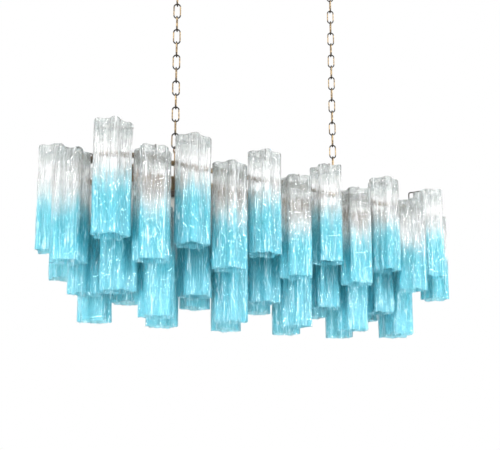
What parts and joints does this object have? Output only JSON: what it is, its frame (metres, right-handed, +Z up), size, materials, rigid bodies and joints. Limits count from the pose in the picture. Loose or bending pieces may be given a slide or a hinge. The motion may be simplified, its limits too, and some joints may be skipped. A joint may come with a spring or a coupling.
{
  "type": "glass tube chandelier",
  "caption": "Two-chain chandelier: an oval brass frame hung with two rings of star-section blue and clear glass tubes at staggered heights, each swinging on its hook.",
  "frame": {"origin": "centre of the ceiling plate's four screws, on the ceiling plane", "axes": "+Z up, +X along the chandelier's length, +Y towards its back row"},
  "size_m": [1.3832, 0.4886, 1.2947],
  "materials": {
    "brass": "antique satin",
    "dark_brass": "darkened",
    "chain_brass": "antique satin",
    "steel": "satin",
    "holder": "matte",
    "bulb_glass": "frosted",
    "blue_glass": "grooved, clear above and blue below"
  },
  "bodies": {
    "ceiling": {"ceiling_plate": "brass"},
    "top_links": {"top_links": "chain_brass"},
    "left_chain": {"left_chain": "chain_brass"},
    "right_chain": {"right_chain": "chain_brass"},
    "chandelier": {"upper_rail": "brass", "lower_band": "brass", "cross_bars": "brass", "chain_eyes": "brass", "glass_hooks": "dark_brass", "cross_pins": "steel", "lamp_holders": "holder", "bulbs": "bulb_glass"},
    "glass_outer_01": {"glass_outer_01": "blue_glass"},
    "glass_outer_02": {"glass_outer_02": "blue_glass"},
    "glass_outer_03": {"glass_outer_03": "blue_glass"},
    "glass_outer_04": {"glass_outer_04": "blue_glass"},
    "glass_outer_05": {"glass_outer_05": "blue_glass"},
    "glass_outer_06": {"glass_outer_06": "blue_glass"},
    "glass_outer_07": {"glass_outer_07": "blue_glass"},
    "glass_outer_08": {"glass_outer_08": "blue_glass"},
    "glass_outer_09": {"glass_outer_09": "blue_glass"},
    "glass_outer_10": {"glass_outer_10": "blue_glass"},
    "glass_outer_11": {"glass_outer_11": "blue_glass"},
    "glass_outer_12": {"glass_outer_12": "blue_glass"},
    "glass_outer_13": {"glass_outer_13": "blue_glass"},
    "glass_outer_14": {"glass_outer_14": "blue_glass"},
    "glass_outer_15": {"glass_outer_15": "blue_glass"},
    "glass_outer_16": {"glass_outer_16": "blue_glass"},
    "glass_outer_17": {"glass_outer_17": "blue_glass"},
    "glass_outer_18": {"glass_outer_18": "blue_glass"},
    "glass_outer_19": {"glass_outer_19": "blue_glass"},
    "glass_outer_20": {"glass_outer_20": "blue_glass"},
    "glass_outer_21": {"glass_outer_21": "blue_glass"},
    "glass_outer_22": {"glass_outer_22": "blue_glass"},
    "glass_outer_23": {"glass_outer_23": "blue_glass"},
    "glass_outer_24": {"glass_outer_24": "blue_glass"},
    "glass_outer_25": {"glass_outer_25": "blue_glass"},
    "glass_outer_26": {"glass_outer_26": "blue_glass"},
    "glass_inner_01": {"glass_inner_01": "blue_glass"},
    "glass_inner_02": {"glass_inner_02": "blue_glass"},
    "glass_inner_03": {"glass_inner_03": "blue_glass"},
    "glass_inner_04": {"glass_inner_04": "blue_glass"},
    "glass_inner_05": {"glass_inner_05": "blue_glass"},
    "glass_inner_06": {"glass_inner_06": "blue_glass"},
    "glass_inner_07": {"glass_inner_07": "blue_glass"},
    "glass_inner_08": {"glass_inner_08": "blue_glass"},
    "glass_inner_09": {"glass_inner_09": "blue_glass"},
    "glass_inner_10": {"glass_inner_10": "blue_glass"},
    "glass_inner_11": {"glass_inner_11": "blue_glass"},
    "glass_inner_12": {"glass_inner_12": "blue_glass"},
    "glass_inner_13": {"glass_inner_13": "blue_glass"},
    "glass_inner_14": {"glass_inner_14": "blue_glass"},
    "glass_inner_15": {"glass_inner_15": "blue_glass"},
    "glass_inner_16": {"glass_inner_16": "blue_glass"},
    "glass_inner_17": {"glass_inner_17": "blue_glass"},
    "glass_inner_18": {"glass_inner_18": "blue_glass"},
    "glass_inner_19": {"glass_inner_19": "blue_glass"},
    "glass_inner_20": {"glass_inner_20": "blue_glass"},
    "glass_inner_21": {"glass_inner_21": "blue_glass"},
    "glass_inner_22": {"glass_inner_22": "blue_glass"}
  },
  "joints": [
    {"name": "swing_front_back", "type": "hinge", "parent": "ceiling", "child": "top_links", "pos_m": [0, 0, -0.04], "axis": [1, 0, 0], "range_deg": [-8, 8]},
    {"name": "left_chain_sway", "type": "hinge", "parent": "top_links", "child": "left_chain", "pos_m": [-0.295, 0, -0.0805], "axis": [0, 1, 0], "range_deg": [-8, 8]},
    {"name": "right_chain_sway", "type": "hinge", "parent": "top_links", "child": "right_chain", "pos_m": [0.295, 0, -0.0805], "axis": [0, 1, 0], "range_deg": [-8, 8]},
    {"name": "chandelier_level", "type": "hinge", "parent": "left_chain", "child": "chandelier", "pos_m": [-0.295, 0, -0.7727], "axis": [0, 1, 0], "range_deg": [-8, 8]},
    {"name": "swing_outer_01", "type": "hinge", "parent": "chandelier", "child": "glass_outer_01", "pos_m": [-0.622, -0.07, -0.8877], "axis": [-0.1273, 0.9919, 0], "range_deg": [-1, 45]},
    {"name": "swing_outer_02", "type": "hinge", "parent": "chandelier", "child": "glass_outer_02", "pos_m": [-0.552, -0.182, -0.8347], "axis": [-0.8592, 0.5116, 0], "range_deg": [-1, 45]},
    {"name": "swing_outer_03", "type": "hinge", "parent": "chandelier", "child": "glass_outer_03", "pos_m": [-0.448, -0.196, -0.8877], "axis": [-1, 0, 0], "range_deg": [-1, 45]},
    {"name": "swing_outer_04", "type": "hinge", "parent": "chandelier", "child": "glass_outer_04", "pos_m": [-0.336, -0.196, -0.8347], "axis": [-1, 0, 0], "range_deg": [-1, 45]},
    {"name": "swing_outer_05", "type": "hinge", "parent": "chandelier", "child": "glass_outer_05", "pos_m": [-0.224, -0.196, -0.8877], "axis": [-1, 0, 0], "range_deg": [-1, 45]},
    {"name": "swing_outer_06", "type": "hinge", "parent": "chandelier", "child": "glass_outer_06", "pos_m": [-0.112, -0.196, -0.8347], "axis": [-1, 0, 0], "range_deg": [-1, 45]},
    {"name": "swing_outer_07", "type": "hinge", "parent": "chandelier", "child": "glass_outer_07", "pos_m": [0, -0.196, -0.8877], "axis": [-1, 0, 0], "range_deg": [-1, 45]},
    {"name": "swing_outer_08", "type": "hinge", "parent": "chandelier", "child": "glass_outer_08", "pos_m": [0.112, -0.196, -0.8347], "axis": [-1, 0, 0], "range_deg": [-1, 45]},
    {"name": "swing_outer_09", "type": "hinge", "parent": "chandelier", "child": "glass_outer_09", "pos_m": [0.224, -0.196, -0.8877], "axis": [-1, 0, 0], "range_deg": [-1, 45]},
    {"name": "swing_outer_10", "type": "hinge", "parent": "chandelier", "child": "glass_outer_10", "pos_m": [0.336, -0.196, -0.8347], "axis": [-1, 0, 0], "range_deg": [-1, 45]},
    {"name": "swing_outer_11", "type": "hinge", "parent": "chandelier", "child": "glass_outer_11", "pos_m": [0.448, -0.196, -0.8877], "axis": [-1, 0, 0], "range_deg": [-1, 45]},
    {"name": "swing_outer_12", "type": "hinge", "parent": "chandelier", "child": "glass_outer_12", "pos_m": [0.552, -0.182, -0.8347], "axis": [-0.8592, -0.5116, 0], "range_deg": [-1, 45]},
    {"name": "swing_outer_13", "type": "hinge", "parent": "chandelier", "child": "glass_outer_13", "pos_m": [0.662, -0.092, -0.8877], "axis": [-0.2131, -0.977, 0], "range_deg": [-1, 45]},
    {"name": "swing_outer_14", "type": "hinge", "parent": "chandelier", "child": "glass_outer_14", "pos_m": [0.662, 0.092, -0.8347], "axis": [0.2131, -0.977, 0], "range_deg": [-1, 45]},
    {"name": "swing_outer_15", "type": "hinge", "parent": "chandelier", "child": "glass_outer_15", "pos_m": [0.552, 0.182, -0.8877], "axis": [0.8592, -0.5116, 0], "range_deg": [-1, 45]},
    {"name": "swing_outer_16", "type": "hinge", "parent": "chandelier", "child": "glass_outer_16", "pos_m": [0.448, 0.196, -0.8347], "axis": [1, 0, 0], "range_deg": [-1, 45]},
    {"name": "swing_outer_17", "type": "hinge", "parent": "chandelier", "child": "glass_outer_17", "pos_m": [0.336, 0.196, -0.8877], "axis": [1, 0, 0], "range_deg": [-1, 45]},
    {"name": "swing_outer_18", "type": "hinge", "parent": "chandelier", "child": "glass_outer_18", "pos_m": [0.224, 0.196, -0.8347], "axis": [1, 0, 0], "range_deg": [-1, 45]},
    {"name": "swing_outer_19", "type": "hinge", "parent": "chandelier", "child": "glass_outer_19", "pos_m": [0.112, 0.196, -0.8877], "axis": [1, 0, 0], "range_deg": [-1, 45]},
    {"name": "swing_outer_20", "type": "hinge", "parent": "chandelier", "child": "glass_outer_20", "pos_m": [0, 0.196, -0.8347], "axis": [1, 0, 0], "range_deg": [-1, 45]},
    {"name": "swing_outer_21", "type": "hinge", "parent": "chandelier", "child": "glass_outer_21", "pos_m": [-0.112, 0.196, -0.8877], "axis": [1, 0, 0], "range_deg": [-1, 45]},
    {"name": "swing_outer_22", "type": "hinge", "parent": "chandelier", "child": "glass_outer_22", "pos_m": [-0.224, 0.196, -0.8347], "axis": [1, 0, 0], "range_deg": [-1, 45]},
    {"name": "swing_outer_23", "type": "hinge", "parent": "chandelier", "child": "glass_outer_23", "pos_m": [-0.336, 0.196, -0.8877], "axis": [1, 0, 0], "range_deg": [-1, 45]},
    {"name": "swing_outer_24", "type": "hinge", "parent": "chandelier", "child": "glass_outer_24", "pos_m": [-0.448, 0.196, -0.8347], "axis": [1, 0, 0], "range_deg": [-1, 45]},
    {"name": "swing_outer_25", "type": "hinge", "parent": "chandelier", "child": "glass_outer_25", "pos_m": [-0.552, 0.182, -0.8877], "axis": [0.8592, 0.5116, 0], "range_deg": [-1, 45]},
    {"name": "swing_outer_26", "type": "hinge", "parent": "chandelier", "child": "glass_outer_26", "pos_m": [-0.622, 0.07, -0.8347], "axis": [0.1273, 0.9919, 0], "range_deg": [-1, 45]},
    {"name": "swing_inner_01", "type": "hinge", "parent": "chandelier", "child": "glass_inner_01", "pos_m": [-0.494, -0.088, -0.9547], "axis": [-0.8468, 0.5319, 0], "range_deg": [-0.5, 1]},
    {"name": "swing_inner_02", "type": "hinge", "parent": "chandelier", "child": "glass_inner_02", "pos_m": [-0.392, -0.108, -1.0167], "axis": [-1, 0, 0], "range_deg": [-3, 1]},
    {"name": "swing_inner_03", "type": "hinge", "parent": "chandelier", "child": "glass_inner_03", "pos_m": [-0.28, -0.108, -0.9547], "axis": [-1, 0, 0], "range_deg": [-5, 1]},
    {"name": "swing_inner_04", "type": "hinge", "parent": "chandelier", "child": "glass_inner_04", "pos_m": [-0.168, -0.108, -1.0167], "axis": [-1, 0, 0], "range_deg": [-5, 1]},
    {"name": "swing_inner_05", "type": "hinge", "parent": "chandelier", "child": "glass_inner_05", "pos_m": [-0.056, -0.108, -0.9547], "axis": [-1, 0, 0], "range_deg": [-5, 1]},
    {"name": "swing_inner_06", "type": "hinge", "parent": "chandelier", "child": "glass_inner_06", "pos_m": [0.056, -0.108, -1.0167], "axis": [-1, 0, 0], "range_deg": [-5, 1]},
    {"name": "swing_inner_07", "type": "hinge", "parent": "chandelier", "child": "glass_inner_07", "pos_m": [0.168, -0.108, -0.9547], "axis": [-1, 0, 0], "range_deg": [-5, 1]},
    {"name": "swing_inner_08", "type": "hinge", "parent": "chandelier", "child": "glass_inner_08", "pos_m": [0.28, -0.108, -1.0167], "axis": [-1, 0, 0], "range_deg": [-5, 1]},
    {"name": "swing_inner_09", "type": "hinge", "parent": "chandelier", "child": "glass_inner_09", "pos_m": [0.392, -0.108, -0.9547], "axis": [-1, 0, 0], "range_deg": [-3, 1]},
    {"name": "swing_inner_10", "type": "hinge", "parent": "chandelier", "child": "glass_inner_10", "pos_m": [0.494, -0.088, -1.0167], "axis": [-0.8468, -0.5319, 0], "range_deg": [-0.5, 1]},
    {"name": "swing_inner_11", "type": "hinge", "parent": "chandelier", "child": "glass_inner_11", "pos_m": [0.548, 0, -1.0167], "axis": [0, -1, 0], "range_deg": [-0.5, 0.5]},
    {"name": "swing_inner_12", "type": "hinge", "parent": "chandelier", "child": "glass_inner_12", "pos_m": [0.494, 0.088, -0.9547], "axis": [0.8468, -0.5319, 0], "range_deg": [-0.5, 1]},
    {"name": "swing_inner_13", "type": "hinge", "parent": "chandelier", "child": "glass_inner_13", "pos_m": [0.392, 0.108, -1.0167], "axis": [1, 0, 0], "range_deg": [-3, 1]},
    {"name": "swing_inner_14", "type": "hinge", "parent": "chandelier", "child": "glass_inner_14", "pos_m": [0.28, 0.108, -0.9547], "axis": [1, 0, 0], "range_deg": [-5, 1]},
    {"name": "swing_inner_15", "type": "hinge", "parent": "chandelier", "child": "glass_inner_15", "pos_m": [0.168, 0.108, -1.0167], "axis": [1, 0, 0], "range_deg": [-5, 1]},
    {"name": "swing_inner_16", "type": "hinge", "parent": "chandelier", "child": "glass_inner_16", "pos_m": [0.056, 0.108, -0.9547], "axis": [1, 0, 0], "range_deg": [-5, 1]},
    {"name": "swing_inner_17", "type": "hinge", "parent": "chandelier", "child": "glass_inner_17", "pos_m": [-0.056, 0.108, -1.0167], "axis": [1, 0, 0], "range_deg": [-5, 1]},
    {"name": "swing_inner_18", "type": "hinge", "parent": "chandelier", "child": "glass_inner_18", "pos_m": [-0.168, 0.108, -0.9547], "axis": [1, 0, 0], "range_deg": [-5, 1]},
    {"name": "swing_inner_19", "type": "hinge", "parent": "chandelier", "child": "glass_inner_19", "pos_m": [-0.28, 0.108, -1.0167], "axis": [1, 0, 0], "range_deg": [-5, 1]},
    {"name": "swing_inner_20", "type": "hinge", "parent": "chandelier", "child": "glass_inner_20", "pos_m": [-0.392, 0.108, -0.9547], "axis": [1, 0, 0], "range_deg": [-3, 1]},
    {"name": "swing_inner_21", "type": "hinge", "parent": "chandelier", "child": "glass_inner_21", "pos_m": [-0.494, 0.088, -1.0167], "axis": [0.8468, 0.5319, 0], "range_deg": [-0.5, 1]},
    {"name": "swing_inner_22", "type": "hinge", "parent": "chandelier", "child": "glass_inner_22", "pos_m": [-0.548, 0, -0.9547], "axis": [0, 1, 0], "range_deg": [-0.5, 0.5]}
  ],
  "couplings": [
    {"joint": "right_chain_sway", "follows": "left_chain_sway", "ratio": 1},
    {"joint": "chandelier_level", "follows": "left_chain_sway", "ratio": -1}
  ]
}
